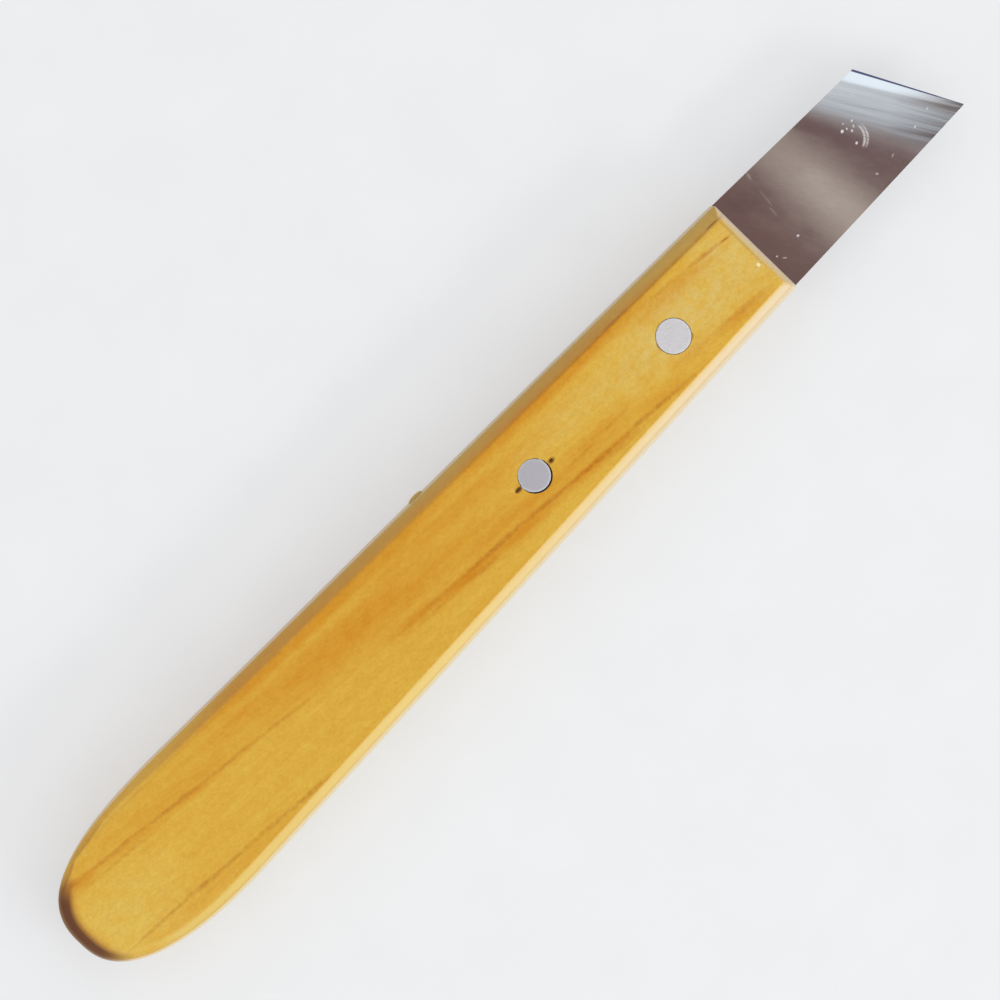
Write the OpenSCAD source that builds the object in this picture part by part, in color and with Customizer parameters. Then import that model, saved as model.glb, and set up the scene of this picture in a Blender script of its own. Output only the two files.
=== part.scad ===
// Skew carving knife: a short steel blade whose tang sits in a sawn slot of a one-piece wooden handle,
// held by two rivets that pass through the wood and the tang.
// X runs along the handle towards the point, Y towards the blade's blunt back, Z up.
// The knife lies on its side. The handle's lower flat is at Z = 0, and the origin is under the middle
// of the knife's length and width.

/* [Handle] */
// Length of the handle, from butt to front end
handle_length = 131; // [110:0.5:150]
// Width of the handle where it is widest, at the start of the butt
handle_width = 21.5; // [19:0.5:28]
// Width of the handle at its front end
front_width = 16; // [13:0.1:18.5]
// Thickness of the handle, between its two flats
handle_thickness = 12; // [10:0.5:16]
// Length of the rounded butt
butt_length = 23.5; // [14:0.5:40]
// Fullness of the butt's corner on the back's side, where 2 is an ellipse
back_fullness = 2.8; // [2:0.1:5]
// Fullness of the butt's corner on the belly's side, where 2 is an ellipse
belly_fullness = 2.4; // [2:0.1:5]
// Width of the eased edge between a flat and a side
ease_width = 2.1; // [1:0.1:3]
// Depth of the eased edge below the flat
ease_depth = 2.4; // [1:0.1:4]
// Width of the eased edge at the butt's end
butt_ease_width = 2.2; // [1:0.1:4]
// Width of the eased edge at the front end
front_ease_width = 1.2; // [0.4:0.1:2]

/* [Blade] */
// Thickness of the steel
blade_thickness = 2; // [1.2:0.1:3]
// Length of the blade in front of the handle, measured at its point
blade_reach = 34; // [25:0.5:45]
// Angle between the cutting edge and the handle's line
edge_angle = 63; // [45:0.1:90]
// Angle by which the blade leans from the handle's line, towards the belly
blade_lean = 0.55; // [0:0.05:2]
// How far each side of the handle stands proud of the blade
side_step = 0.15; // [0.05:0.05:1]
// Width of the ground bevel, square to the cutting edge
bevel_width = 7; // [4:0.5:12]
// Width of the honed bevel at the cutting edge
hone_width = 1; // [0.4:0.1:2]
// Thickness of the steel where the honed bevel starts
hone_thickness = 0.5; // [0.3:0.05:0.8]
// Thickness left at the cutting edge
edge_land = 0.1; // [0.05:0.01:0.2]
// Length of the tang behind the middle of the rear rivet
tang_tail = 12; // [6:0.5:20]

/* [Rivets] */
// Diameter of the rivets
rivet_diameter = 4.8; // [3:0.1:6]
// Distance of the front rivet behind the handle's front end
rivet_setback = 16.6; // [10:0.1:22]
// Distance between the two rivets along the handle
rivet_spacing = 26.3; // [18:0.1:40]
// Distance of the front rivet from the middle of the handle, towards the belly
front_rivet_offset = 0.4; // [0:0.1:1.5]
// Distance of the rear rivet from the middle of the handle, towards the belly
rear_rivet_offset = 0; // [0:0.1:1.5]

/* [Fits] */
// Clearance all round a rivet in its holes
rivet_clearance = 0.05; // [0.02:0.01:0.2]
// Clearance between the tang and each wall of its slot
slot_clearance = 0.03; // [0.02:0.01:0.2]
// Gap between the tang's end and the end of its slot
slot_end_gap = 0.3; // [0.1:0.1:1]

/* [Hidden] */

$fn = 64;

// How far cutting shapes reach past what they cut
cut_margin = 1;
// Number of steps round each corner of the butt
butt_steps = 16;
// Number of facets across an eased edge
ease_facets = 2;

// Places along the knife
total_length = handle_length + blade_reach;
butt_x = -total_length / 2;
shoulder_x = butt_x + butt_length;
front_x = butt_x + handle_length;
tip_x = total_length / 2;
tang_length = rivet_setback + rivet_spacing + tang_tail;
tang_x = front_x - tang_length;

// The blade lies in the handle's middle plane
middle_z = handle_thickness / 2;

front_rivet_place = [front_x - rivet_setback, -front_rivet_offset];
rear_rivet_place = [front_x - rivet_setback - rivet_spacing, -rear_rivet_offset];

// The handle's sides are straight from shoulder to front, and the blade narrows as they do
side_slope = (handle_width - front_width) / 2 / (front_x - shoulder_x);
function handle_side(x) = front_width / 2 + side_slope * (front_x - x);
function blade_side(x) = handle_side(x) - side_step;

// The blade's own line, and a corner on its back or its belly
function blade_line(x) = -tan(blade_lean) * max(0, x - front_x);
function blade_corner(x, side) = [x, blade_line(x) + side * blade_side(x)];

// Length of the cutting edge, from the point back to the heel on the blade's back
back_slope = side_slope + tan(blade_lean);
edge_length = 2 * blade_side(tip_x) / (sin(edge_angle) - back_slope * cos(edge_angle));
point = blade_corner(tip_x, -1);
heel = point + edge_length * [-cos(edge_angle), sin(edge_angle)];

// A point of the butt's rounded outline, at an angle from the handle's line
function butt_point(angle, side, drawn_in) =
    let (fullness = side > 0 ? back_fullness : belly_fullness)
    let (radius = pow(pow(cos(angle), fullness) + pow(sin(angle), fullness), -1 / fullness))
    [
        shoulder_x - (butt_length - butt_ease_width * drawn_in) * radius * cos(angle),
        side * (handle_width / 2 - ease_width * drawn_in) * radius * sin(angle)
    ];

// The front corner of the handle's outline
function front_corner(side, drawn_in) =
    let (x = front_x - front_ease_width * drawn_in)
    [x, side * (handle_side(x) - ease_width * drawn_in)];

// The handle seen from above, drawn in all round by a share of its eased edges' widths
module handle_outline(drawn_in) {
    step = 90 / butt_steps;
    back = [for (i = [0:butt_steps]) butt_point(i * step, 1, drawn_in)];
    belly = [for (i = [butt_steps:-1:1]) butt_point(i * step, -1, drawn_in)];
    corners = [for (side = [1, -1]) front_corner(side, drawn_in)];
    polygon(concat(back, corners, belly));
}

// The wood before it is slotted and drilled: its edges are eased along a quarter of an ellipse
module handle_blank() {
    translate([0, 0, middle_z])
        hull()
            for (i = [0:ease_facets])
                let (angle = 90 * i / ease_facets)
                let (drop = ease_depth * (1 - sin(angle)))
                linear_extrude(handle_thickness - 2 * drop, center = true)
                    handle_outline(1 - cos(angle));
}

// The saw cut for the tang, open to the front and to both sides of the handle
module tang_slot() {
    slot_length = tang_length + slot_end_gap + cut_margin;
    slot_width = handle_width + 2 * cut_margin;
    slot_height = blade_thickness + 2 * slot_clearance;
    translate([tang_x - slot_end_gap, -slot_width / 2, middle_z - slot_height / 2])
        cube([slot_length, slot_width, slot_height]);
}

// Both rivet holes, drilled through wood and tang together
module rivet_holes() {
    for (place = [front_rivet_place, rear_rivet_place])
        translate([place.x, place.y, -cut_margin])
            cylinder(d = rivet_diameter + 2 * rivet_clearance, h = handle_thickness + 2 * cut_margin);
}

module handle() {
    color([0.85, 0.66, 0.29])
        difference() {
            handle_blank();
            tang_slot();
            rivet_holes();
        }
}

// The flat steel blank: blade and tang in one piece
module blade_blank() {
    translate([0, 0, middle_z])
        linear_extrude(blade_thickness, center = true)
            polygon([
                blade_corner(tang_x, -1), blade_corner(front_x, -1), point,
                heel, blade_corner(front_x, 1), blade_corner(tang_x, 1)
            ]);
}

// The wedge that grinding leaves, with its thin end along the cutting edge
module blade_grind() {
    bevel_slope = (blade_thickness - hone_thickness) / 2 / (bevel_width - hone_width);
    far = total_length;
    far_half = hone_thickness / 2 + bevel_slope * (far - hone_width);
    upper = [[-far, far_half], [-hone_width, hone_thickness / 2], [0, edge_land / 2]];
    lower = [for (i = [len(upper) - 1:-1:0]) [upper[i].x, -upper[i].y]];
    translate([point.x, point.y, middle_z])
        rotate([0, 0, 90 - edge_angle])
            rotate([90, 0, 0])
                linear_extrude(2 * total_length, center = true)
                    polygon(concat(upper, lower));
}

module blade() {
    color([0.62, 0.60, 0.60])
        difference() {
            intersection() {
                blade_blank();
                blade_grind();
            }
            rivet_holes();
        }
}

// A solid pin, flush with both flats of the handle
module rivet(place) {
    color([0.77, 0.78, 0.80])
        translate([place.x, place.y, 0])
            cylinder(d = rivet_diameter, h = handle_thickness);
}

module rivet_front() {
    rivet(front_rivet_place);
}

module rivet_rear() {
    rivet(rear_rivet_place);
}

handle();
blade();
rivet_front();
rivet_rear();
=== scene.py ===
"""Looks of the skew carving knife: a varnished fruitwood handle, a polished blade and two flush rivets."""
import math

import bpy
from mathutils import Matrix, Vector


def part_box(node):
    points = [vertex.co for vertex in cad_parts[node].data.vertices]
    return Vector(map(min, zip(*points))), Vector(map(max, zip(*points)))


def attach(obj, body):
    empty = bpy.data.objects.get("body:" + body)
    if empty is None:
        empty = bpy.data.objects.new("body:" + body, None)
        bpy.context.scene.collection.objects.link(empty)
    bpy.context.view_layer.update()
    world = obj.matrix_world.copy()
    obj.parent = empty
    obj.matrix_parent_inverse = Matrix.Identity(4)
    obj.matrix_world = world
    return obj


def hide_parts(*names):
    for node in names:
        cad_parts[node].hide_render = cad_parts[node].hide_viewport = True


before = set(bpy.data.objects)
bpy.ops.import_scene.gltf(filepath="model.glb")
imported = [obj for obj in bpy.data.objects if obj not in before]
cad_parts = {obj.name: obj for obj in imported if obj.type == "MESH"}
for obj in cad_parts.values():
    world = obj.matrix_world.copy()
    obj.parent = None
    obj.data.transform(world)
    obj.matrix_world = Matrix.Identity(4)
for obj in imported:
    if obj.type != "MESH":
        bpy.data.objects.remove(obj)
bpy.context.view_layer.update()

MM = 0.001

# Boxes of the solids, which give the sizes and places that the looks follow
handle_low, handle_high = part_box("handle")
blade_low, blade_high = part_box("blade")
front_rivet_low, front_rivet_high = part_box("rivet_front")
rear_rivet_low, rear_rivet_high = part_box("rivet_rear")

# Handle
butt_x = handle_low.x
front_x = handle_high.x
handle_width = handle_high.y - handle_low.y
handle_thickness = handle_high.z - handle_low.z
middle_z = (handle_low.z + handle_high.z) / 2
front_width = 16 * MM
butt_length = 23.5 * MM
back_fullness = 2.8
belly_fullness = 2.4
ease_width = 2.1 * MM
ease_depth = 2.4 * MM
butt_ease_width = 2.2 * MM
front_ease_width = 1.2 * MM
corner_break = 0.25 * MM
# The sides draw in a little above their middle, and more below it, by this much where the eased edges start
side_bulge = 0.12 * MM
side_tuck = 0.3 * MM
# The back's eased edge is a little narrower than the belly's, and narrowest at the butt's corner
back_ease_share = 0.88
corner_ease_share = 0.42
# Where the two facets of an eased edge meet, as shares of its width and of its height
belly_facet = Vector((0.7, 0.7, 0))
back_facet = Vector((0.97, 0.62, 0))
facet_crispness = 0.92
shoulder_x = butt_x + butt_length
side_slope = (handle_width - front_width) / 2 / (front_x - shoulder_x)

# Blade
blade_thickness = blade_high.z - blade_low.z
tang_x = blade_low.x
tip_x = blade_high.x
edge_angle = math.radians(63)
blade_lean = math.tan(math.radians(0.55))
side_step = 0.15 * MM
bevel_width = 7 * MM
heel_hone_width = 1.9 * MM
point_hone_width = 0.5 * MM
heel_bevel_slope = 0.118
point_bevel_slope = 0.086
edge_land = 0.1 * MM
shoulder_softness = 0.115 * MM
slot_clearance = 0.03 * MM
slot_end_gap = 0.3 * MM

# The saw cut for the tang, a raised sliver of wood on the back, and two splits beside the rear rivet
slot_size = Vector((
    front_x - tang_x + 2 * slot_end_gap, 2 * handle_width, blade_thickness + 2 * slot_clearance))
slot_place = Vector((tang_x - slot_end_gap + slot_size.x / 2, 0, middle_z))
sliver_place = Vector((-7.8, 9.4, 8.6)) * MM
sliver_half = Vector((1.25, 0.42, 0.4)) * MM
splits = [
    (Vector((2.65, 0.28, 12.1)) * MM, Vector((0.6, 0.24, 1.0)) * MM),
    (Vector((8.5, -0.15, 12.1)) * MM, Vector((0.34, 0.27, 1.0)) * MM),
]

# Rivets and the holes that they pass through
rivet_diameter = front_rivet_high.x - front_rivet_low.x
front_rivet = (front_rivet_low + front_rivet_high) / 2
rear_rivet = (rear_rivet_low + rear_rivet_high) / 2
tang_bore = rivet_diameter + 0.1 * MM
front_bore = rivet_diameter + 0.16 * MM
# The rear pin is a little thinner, and off the middle of its hole, which shows as a dark crescent
rear_pin_diameter = rivet_diameter - 0.35 * MM
rear_pin = rear_rivet + Vector((-0.12, 0.08, 0)) * MM
rear_bore = rivet_diameter - 0.05 * MM
rear_bore_place = rear_rivet + Vector((-0.1, -0.03, 0)) * MM


def blade_side(x):
    """Half the blade's width at a place along the knife."""
    return front_width / 2 + side_slope * (front_x - x) - side_step


def blade_line(x):
    """The middle of the blade's width, which leans towards the belly in front of the handle."""
    return -blade_lean * max(0, x - front_x)


# The cutting edge, from the point up to the heel
back_slope = side_slope + blade_lean
edge_length = 2 * blade_side(tip_x) / (math.sin(edge_angle) - back_slope * math.cos(edge_angle))
edge_along = Vector((-math.cos(edge_angle), math.sin(edge_angle), 0))
edge_outward = Vector((math.sin(edge_angle), math.cos(edge_angle), 0))
point = Vector((tip_x, blade_line(tip_x) - blade_side(tip_x), middle_z))
heel = point + edge_length * edge_along


def linear(colour):
    """The linear colour of an sRGB hex value, with full alpha."""
    shares = [int(colour[i:i + 2], 16) / 255 for i in (1, 3, 5)]
    return [s / 12.92 if s <= 0.04045 else ((s + 0.055) / 1.055) ** 2.4 for s in shares] + [1]


def mix(low, high, share):
    """A number part of the way from low to high."""
    return low + (high - low) * share


def add_node(tree, kind, *values, sockets=None, **settings):
    """Adds a node with its settings, and fills or links its shown inputs, in order or by name."""
    node = tree.nodes.new(kind)
    for name, setting in settings.items():
        setattr(node, name, setting)
    shown = [socket for socket in node.inputs if socket.enabled]
    pairs = list(zip(shown, values))
    pairs += [(node.inputs[name], value) for name, value in (sockets or {}).items()]
    for socket, value in pairs:
        if isinstance(value, bpy.types.Node):
            value = next(output for output in value.outputs if output.enabled)
        if isinstance(value, bpy.types.NodeSocket):
            tree.links.new(value, socket)
        elif value is not None:
            socket.default_value = value
    return node


# Materials

def new_material(name):
    """An empty node material and the Object coordinates that its patterns read, in millimetres."""
    material = bpy.data.materials.new(name)
    material.use_nodes = True
    tree = material.node_tree
    tree.nodes.clear()
    place = add_node(tree, "ShaderNodeTexCoord").outputs["Object"]
    place = add_node(tree, "ShaderNodeVectorMath", place, sockets={"Scale": 1 / MM}, operation="SCALE")
    return material, tree, place.outputs["Vector"]


def surface(tree, sockets):
    """Ends a material's tree in one shader with these sockets filled or linked."""
    shader = add_node(tree, "ShaderNodeBsdfPrincipled", sockets=sockets)
    add_node(tree, "ShaderNodeOutputMaterial", shader)


def soft_marks(tree, place, marks, full=0.6):
    """The strongest of several soft spots. Each is an ellipse on the flats, right through the piece, with its
    centre, half length and half width in millimetres, its tilt in degrees and its strength in its middle."""
    total = 0.0
    for (x, y), half_length, half_width, tilt, strength in marks:
        here = add_node(tree, "ShaderNodeMapping", place, vector_type="TEXTURE", sockets={
            "Location": (x, y, 0),
            "Rotation": (0, 0, math.radians(tilt)),
            "Scale": (half_length, half_width, 1 / MM),
        })
        mark = add_node(tree, "ShaderNodeTexGradient", here, gradient_type="SPHERICAL").outputs["Fac"]
        mark = add_node(tree, "ShaderNodeMapRange", mark, 0.1, full, 0, strength,
                        interpolation_type="SMOOTHSTEP")
        total = add_node(tree, "ShaderNodeMath", total, mark, operation="MAXIMUM").outputs[0]
    return total


def noise_marks(tree, place, size, detail, roughness=0.5, turn=0.0, start=(0, 0, 0)):
    """A layer of noise with marks of about this size in millimetres, turned on the flats by an angle."""
    spread = add_node(tree, "ShaderNodeMapping", place, vector_type="TEXTURE", sockets={
        "Location": start, "Rotation": (0, 0, turn), "Scale": size})
    return add_node(tree, "ShaderNodeTexNoise", spread, sockets={
        "Scale": 1, "Detail": detail, "Roughness": roughness}).outputs["Fac"]


def distance(tree, value, middle):
    """How far a value is from another, above or below it."""
    offset = add_node(tree, "ShaderNodeMath", value, middle, operation="SUBTRACT")
    return add_node(tree, "ShaderNodeMath", offset, operation="ABSOLUTE").outputs[0]


def weigh(tree, layers, total=0.0):
    """The sum of several layers, each times its weight."""
    for layer, weight in layers:
        total = add_node(tree, "ShaderNodeMath", layer, weight, total, operation="MULTIPLY_ADD").outputs[0]
    return total


def wood_grain(tree, place):
    """The grain's own place, and its layers of noise by name. Growth lines lie slanted in the wood and waver
    a little."""
    growth_slant = 0.35
    wander = 0.5
    drift = noise_marks(tree, place, (14, 5, 5), 3)
    height = add_node(tree, "ShaderNodeSeparateXYZ", place).outputs["Z"]
    sway = weigh(tree, [(drift, wander), (height, growth_slant)],
                 -wander / 2 - growth_slant * handle_high.z / MM)
    sway = add_node(tree, "ShaderNodeCombineXYZ", sockets={"Y": sway})
    grain = add_node(tree, "ShaderNodeVectorMath", place, sway, operation="ADD")

    # Layers of grain, with the length and width of their marks in millimetres
    grain_tilt = math.radians(-5.5)
    layers = {}
    for name, length, width, detail in (
            ("thread", 60, 0.9, 3), ("patch", 16, 3, 2), ("figure", 8, 2.4, 3), ("blotch", 2, 1.5, 2),
            ("mottle", 0.7, 0.55, 2), ("fibre", 5, 0.2, 3), ("fleck", 0.26, 0.22, 2)):
        layers[name] = noise_marks(tree, grain, (length, width, width), detail, 0.55, grain_tilt)
    return grain, layers


def wood_body(tree, place, along, grain, layers):
    """The wood's own gold: deeper over the rear, beside the back's crease and round the growth lines, and
    paler at the front and the butt."""
    deep = soft_marks(tree, grain, [
        ((-24, 2.6), 46, 6, -6.5, 1.0), ((-10, 4.9), 40, 3.4, -3, 0.62), ((0, -1.8), 40, 3.2, -5, 0.8),
        ((-60, -7.4), 22, 1.8, -5, 0.4), ((-46, 6.2), 16, 2.6, -4, 0.6), ((-19, -1.6), 11, 2.2, -5, 0.9),
        ((-11, -2.9), 15, 1.6, -5, 1.2), ((-1, -3.9), 11, 1.9, -5, 1.1), ((12, -4.6), 14, 1.5, -5, 0.9),
        ((24.5, -4.9), 10, 1.8, -6, 0.55), ((32, -3.7), 7, 1.6, -6, 0.7), ((15, -2.2), 12, 2.0, -3, 0.8),
        ((-58, 5.6), 26, 2.6, -8, 0.5), ((-76, 6.1), 6, 1.6, -8, 0.8), ((-67, 4.8), 12, 1.2, -8, 0.7),
        ((-57, 3.6), 8, 1.1, -8, 0.7), ((36, 3.7), 16, 2.2, -5, 0.85), ((40, -4.8), 9, 1.4, -6, 0.8)], full=1)
    beside = soft_marks(tree, place, [((-24, 8.2), 46, 2.4, -1.5, 1.0), ((14, 7.1), 32, 2.4, -1.5, 1.1)])
    pale = soft_marks(tree, grain, [
        ((34, 0.4), 27, 7, -4, 1.0), ((45, 1), 10, 10, 0, 0.9), ((16, 2.3), 19, 4, -3, 0.55),
        ((-76, -1.5), 19, 10, 0, 1.0)], full=1)
    depth = weigh(tree, [(layers["thread"], 0.4), (layers["figure"], 0.38), (layers["blotch"], 0.4),
                         (deep, 0.55), (beside, 0.48), (pale, -0.25)], -0.28)
    body = add_node(tree, "ShaderNodeMix", depth, linear("#e5be4b"), linear("#d69017"), data_type="RGBA")
    chalk = add_node(tree, "ShaderNodeMapRange", layers["blotch"], 0.35, 0.65, 0.8, 0.2)
    towards_front = add_node(tree, "ShaderNodeMapRange", along, butt_x / MM, front_x / MM, 0.25, 1)
    chalk = add_node(tree, "ShaderNodeMath", chalk, towards_front, operation="MULTIPLY")
    chalk = add_node(tree, "ShaderNodeMath", pale, chalk, operation="MULTIPLY")
    return add_node(tree, "ShaderNodeMix", chalk, body, linear("#dfc57c"), data_type="RGBA")


def growth_lines(tree, grain, layers):
    """Strength of the growth lines, as they cross the upper flat: soft, and a little broken."""
    lines = soft_marks(tree, grain, [
        ((-15, -2.15), 12, 0.55, -4.4, 0.42), ((-5, -2.9), 12, 0.62, -4.6, 0.58),
        ((4.5, -3.8), 11, 0.6, -5.5, 0.55), ((13, -4.6), 11, 0.6, -5, 0.55),
        ((23, -5.42), 12, 0.55, -5.2, 0.58), ((-17, -3), 5, 0.5, -6, 0.3), ((-8.5, -3.6), 5, 0.9, -8, 0.3),
        ((17, -5.5), 7, 0.9, -5, 0.25), ((11.5, -2.5), 4, 0.5, -2, 0.25), ((18, -2.6), 4, 0.45, -2, 0.25),
        ((-70, 5.65), 13, 0.5, -7, 0.36), ((-59, 4.2), 11, 0.55, -7.5, 0.45),
        ((-58, 4.1), 4, 0.6, -7.5, 0.5), ((-50, 2.95), 11, 0.5, -8, 0.42), ((-42, 1.75), 9, 0.5, -8, 0.36),
        ((-77, 6.7), 3, 0.8, -14, 0.45), ((-70, 4.3), 10, 0.45, -7, 0.2),
        ((-71, -5.55), 11, 0.5, -3.5, 0.36), ((-65, -6.0), 6, 0.6, -7, 0.5),
        ((-60, -6.45), 11, 0.5, -5.5, 0.4), ((-51, -7.35), 11, 0.55, -6.5, 0.42),
        ((-46, -7.9), 6, 0.55, -4, 0.55), ((43.5, 4.05), 6, 0.5, -8, 0.5),
        ((45.9, 3.75), 1.3, 0.35, -8, 0.8), ((34, 5.2), 10, 0.6, -6, 0.2),
        ((41, -4.6), 7, 0.7, -5, 0.22)], full=0.85)
    strength = add_node(tree, "ShaderNodeMapRange", layers["patch"], 0.38, 0.62, 0.88, 1.06)
    for layer, least in (("fibre", 0.8), ("mottle", 0.55)):
        broken = add_node(tree, "ShaderNodeMapRange", layers[layer], 0.35, 0.6, least, 1.1)
        strength = add_node(tree, "ShaderNodeMath", strength, broken, operation="MULTIPLY")
    return add_node(tree, "ShaderNodeMath", lines, strength, operation="MULTIPLY")


def wood_stains_and_shade(tree, place, along, side_in, back):
    """Strength of the stains and painted shade: stains round both rivets, dirt and painted shade in the
    splits, and painted shade along the front's crease and on the back's crease, most of all near its ends."""
    front_mark = (front_rivet / MM).xy
    rear_mark = (rear_rivet / MM).xy
    stain_and_shade_marks = [
        (front_mark, 2.95, 2.95, 0, 0.4), (rear_mark, 2.95, 2.95, 0, 0.4),
        (front_mark + Vector((-2.44, 0.4)), 0.9, 0.3, 80, 0.4),
        (front_mark + Vector((1.74, -1.8)), 0.7, 0.3, 45, 0.45),
        # Marks along the front's crease and the back's crease are painted shade
        ((front_x / MM - front_ease_width / MM - 0.05, 3), 8, 0.3, 90, 0.2),
        ((-76.4, 7.85), 3.4, 0.34, 24, 0.4), ((-71.5, 9.2), 5, 0.34, 8, 0.35),
        ((46.2, 6.28), 1.9, 0.25, -3, 0.75), ((28, 6.75), 4.5, 0.3, -1.5, 0.5),
    ]
    # The splits are darkened with dirt and painted shade
    stain_and_shade_marks += [((split_place / MM).xy, 0.9, 0.6, 0, 0.6) for split_place, half in splits]
    stain_and_shade = soft_marks(tree, place, stain_and_shade_marks)

    # The rest of the back's crease gets painted shade, darker towards the front
    crease_in = mix(side_bulge, ease_width, back_ease_share) / MM
    crease = distance(tree, side_in, crease_in)
    crease = add_node(tree, "ShaderNodeMapRange", crease, 0.05, 0.4, 1, 0)
    crease = add_node(tree, "ShaderNodeMath", crease, back, operation="MULTIPLY")
    towards_front = add_node(tree, "ShaderNodeMapRange", along, -30, 40, 0.1, 0.48)
    crease = add_node(tree, "ShaderNodeMath", crease, towards_front, operation="MULTIPLY")
    return add_node(tree, "ShaderNodeMath", stain_and_shade, crease, operation="MAXIMUM")


def butt_end(tree, place, along, aside, below):
    """The zone of the butt's end, and how near the butt's outline a place in it is."""
    butt_fullness = (back_fullness + belly_fullness) / 2
    rearward = add_node(tree, "ShaderNodeMapRange", along, shoulder_x / MM, butt_x / MM, 0, 1)
    sideward = add_node(tree, "ShaderNodeMath", aside, handle_width / 2 / MM, operation="DIVIDE")
    powers = [add_node(tree, "ShaderNodeMath", out, butt_fullness, operation="POWER")
              for out in (rearward, sideward)]
    butt_out = add_node(tree, "ShaderNodeMath", *powers, operation="ADD")
    on_butt = soft_marks(tree, place, [((butt_x / MM, 2.1), 12, 9, 90, 0.95)])
    lower = add_node(tree, "ShaderNodeMapRange", below, 0.5, 1.6, 1, 0.55)
    on_butt = add_node(tree, "ShaderNodeMath", on_butt, lower, operation="MULTIPLY")
    return on_butt, butt_out


def varnished_fruitwood():
    """Planed and varnished pear wood: honey gold and close grained, with a few growth lines that run
    slantwise over the handle, a fine warm mottle, and dark end grain at the butt deepened with painted shade;
    its eased edges carry painted shade and painted highlights."""
    material, tree, place = new_material("varnished_fruitwood")
    sides = add_node(tree, "ShaderNodeSeparateXYZ", place)
    along = sides.outputs["X"]
    across = sides.outputs["Y"]
    grain, layers = wood_grain(tree, place)
    body = wood_body(tree, place, along, grain, layers)
    streak = growth_lines(tree, grain, layers)
    colour = add_node(tree, "ShaderNodeMix", streak, body, linear("#b86600"), data_type="RGBA")
    warmth = weigh(tree, [(layers["fibre"], 0.1), (layers["fleck"], 1.6), (layers["mottle"], 1.2)], -1.12)
    colour = add_node(tree, "ShaderNodeMix", warmth, colour, linear("#f0e7cf"), data_type="RGBA",
                      blend_type="MULTIPLY")

    # Distances in from the sides and from the front end, depth below the nearer flat, and the back's half
    aside = add_node(tree, "ShaderNodeMath", across, operation="ABSOLUTE").outputs[0]
    side_in = weigh(tree, [(along, -side_slope), (aside, -1)], (front_width / 2 + side_slope * front_x) / MM)
    front_in = weigh(tree, [(along, -1)], front_x / MM)
    height = distance(tree, sides.outputs["Z"], middle_z / MM)
    below = add_node(tree, "ShaderNodeMath", handle_thickness / 2 / MM, height, operation="SUBTRACT")
    back = add_node(tree, "ShaderNodeMapRange", across, -1, 1, 0, 1)

    # Stains, with painted shade along the creases and in the splits
    stain_and_shade = wood_stains_and_shade(tree, place, along, side_in, back)
    colour = add_node(tree, "ShaderNodeMix", stain_and_shade, colour, linear("#783806"), data_type="RGBA")

    # A pale chip beside the rear rivet, and a painted glint on the front's crease
    chip_and_glint = soft_marks(tree, place, [((1.95, 0.8), 0.5, 0.3, 0, 0.12), ((46.7, -1.95), 0.35, 0.45, 0, 0.9)])
    colour = add_node(tree, "ShaderNodeMix", chip_and_glint, colour, linear("#fbeab4"), data_type="RGBA")

    # The eased edges of the sides and of the front end meet in a mitre
    mitre = weigh(tree, [(side_in, MM / ease_width), (front_in, -MM / front_ease_width)])
    mitre = add_node(tree, "ShaderNodeMapRange", mitre, -0.1, 0.1, 0, 1)
    eased = add_node(tree, "ShaderNodeMapRange", below, 0.02, 0.14, 0, 1)
    on_front = add_node(tree, "ShaderNodeMath", eased, mitre, operation="MULTIPLY")
    on_sides = add_node(tree, "ShaderNodeMath", eased, on_front, operation="SUBTRACT")
    on_back = add_node(tree, "ShaderNodeMath", on_sides, back, operation="MULTIPLY")
    on_belly = add_node(tree, "ShaderNodeMath", on_sides, on_back, operation="SUBTRACT")
    # The back's eased edge is tinted olive towards the front: painted shade, as it faces away from the light
    olive = add_node(tree, "ShaderNodeMapRange", along, -55, -5, 0.25, 1)
    olive = add_node(tree, "ShaderNodeMath", on_back, olive, operation="MULTIPLY")
    # The belly's eased edge is painted pale: a painted highlight standing in for the window's gloss
    belly_highlight = add_node(tree, "ShaderNodeMapRange", below, 0.1, 0.4, 0.4, 1)
    belly_highlight = add_node(tree, "ShaderNodeMath", on_belly, belly_highlight, operation="MULTIPLY")

    # Eased edges have painted shade at the back, with a paler outer rim, and a painted highlight at the
    # belly;
    # the front's is bare wood under a painted highlight, and the butt's end grain has drunk the varnish and
    # gone dark, deepened with painted shade where it faces away from the light
    on_butt, butt_out = butt_end(tree, place, along, aside, below)
    for zone, way, start, end, low, high, tint in (
            (on_back, along, -65, -45, 0.2, 0.42, "#a0681a"),
            (olive, below, 0.05, 0.65, 0.12, 0.45, "#a8965a"),
            (on_back, below, 2.3, 2.6, 0, 0.3, "#d2b878"),
            (on_belly, along, -76, -72, 0, 0.6, "#e6cd74"),
            (belly_highlight, along, -22, 37, 0, 0.8, "#e4ceac"),
            (on_belly, below, 0.5, 0.65, 0, 0.3, "#c99a45"),
            (on_belly, below, 0.75, 1.0, 0, 0.6, "#efe0b6"),
            # The front's pale tint is bare end grain and a painted highlight
            (on_front, front_in, front_ease_width / MM, 0, 0.2, 0.95, "#d9cab6"),
            # The butt's dark band is dark end grain deepened with painted shade
            (on_butt, butt_out, 0.69, 0.77, 0, 0.5, "#a4581c"),
            (on_butt, butt_out, 0.75, 0.82, 0, 0.92, "#511c0a")):
        share = add_node(tree, "ShaderNodeMapRange", way, start, end, low, high)
        share = add_node(tree, "ShaderNodeMath", share, zone, operation="MULTIPLY")
        colour = add_node(tree, "ShaderNodeMix", share, colour, linear(tint), data_type="RGBA")

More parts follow.
